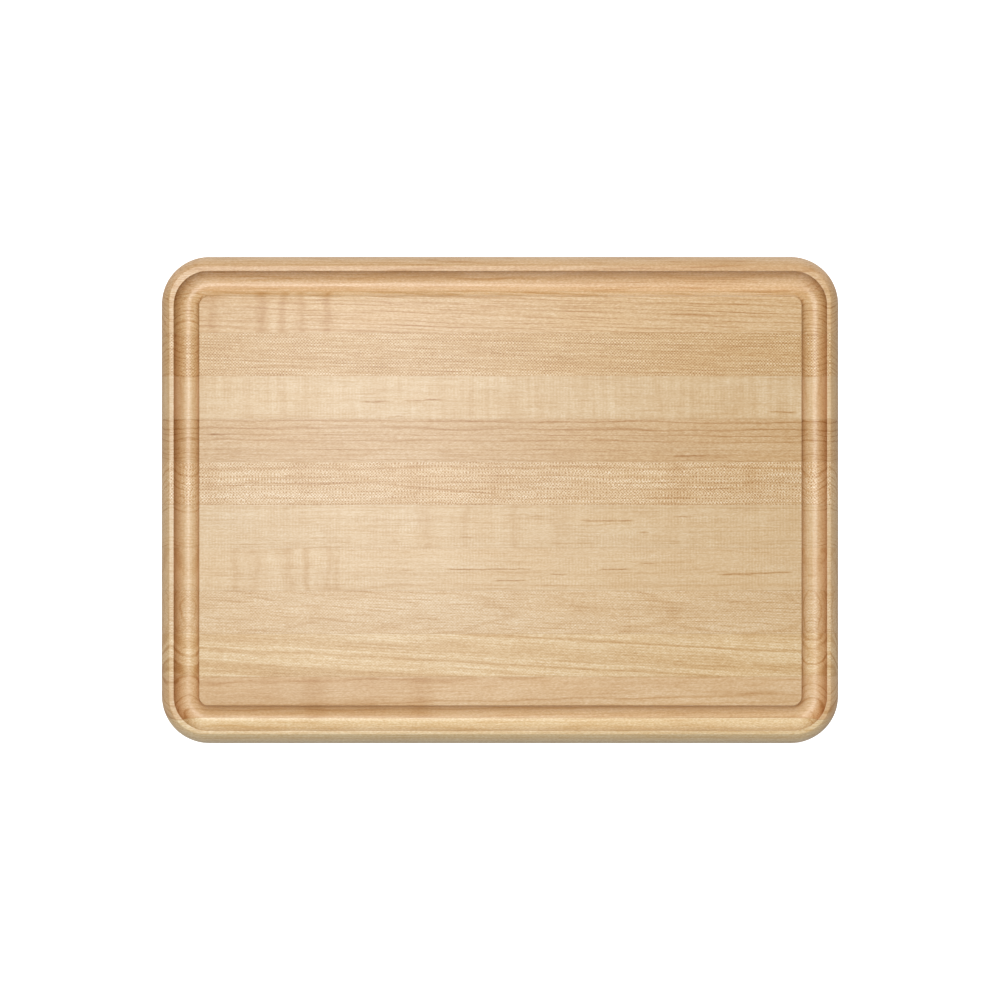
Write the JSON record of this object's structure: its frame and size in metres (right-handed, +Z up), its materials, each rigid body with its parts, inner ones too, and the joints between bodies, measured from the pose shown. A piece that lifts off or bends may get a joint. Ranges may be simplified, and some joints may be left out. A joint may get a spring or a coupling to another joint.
{
  "type": "cutting board",
  "caption": "Rectangular edge-grain maple cutting board with rounded corners and edges and a juice groove round the top face.",
  "frame": {"origin": "middle of the underside, on the surface the board lies on", "axes": "+X along the board's length and the grain, +Y across the staves, +Z up out of the grooved top face"},
  "size_m": [0.5, 0.36, 0.038],
  "materials": {
    "maple_01": "oiled maple, mid tan",
    "maple_02": "oiled maple, curly figure near one end",
    "maple_03": "oiled maple, even tan with fine flecks",
    "maple_04": "oiled maple, pale cream",
    "maple_05": "oiled maple, darker tan with fine growth lines",
    "maple_06": "oiled maple, strongly flecked",
    "maple_07": "oiled maple, pale cream with short mineral streaks",
    "maple_08": "oiled maple, pale cream, curly figure near one end",
    "maple_09": "oiled maple, tan with flat-sawn arcs",
    "maple_10": "oiled maple, cream to yellow",
    "maple_11": "oiled maple, darker tan with brown smudges",
    "maple_12": "oiled maple, light tan",
    "glue": "cured wood glue, amber, sanded flush"
  },
  "bodies": {
    "root": {"stave_01": "maple_01", "stave_02": "maple_02", "stave_03": "maple_03", "stave_04": "maple_04", "stave_05": "maple_05", "stave_06": "maple_06", "stave_07": "maple_07", "stave_08": "maple_08", "stave_09": "maple_09", "stave_10": "maple_10", "stave_11": "maple_11", "stave_12": "maple_12", "glue_line_01": "glue", "glue_line_02": "glue", "glue_line_03": "glue", "glue_line_04": "glue", "glue_line_05": "glue", "glue_line_06": "glue", "glue_line_07": "glue", "glue_line_08": "glue", "glue_line_09": "glue", "glue_line_10": "glue", "glue_line_11": "glue"}
  },
  "joints": []
}
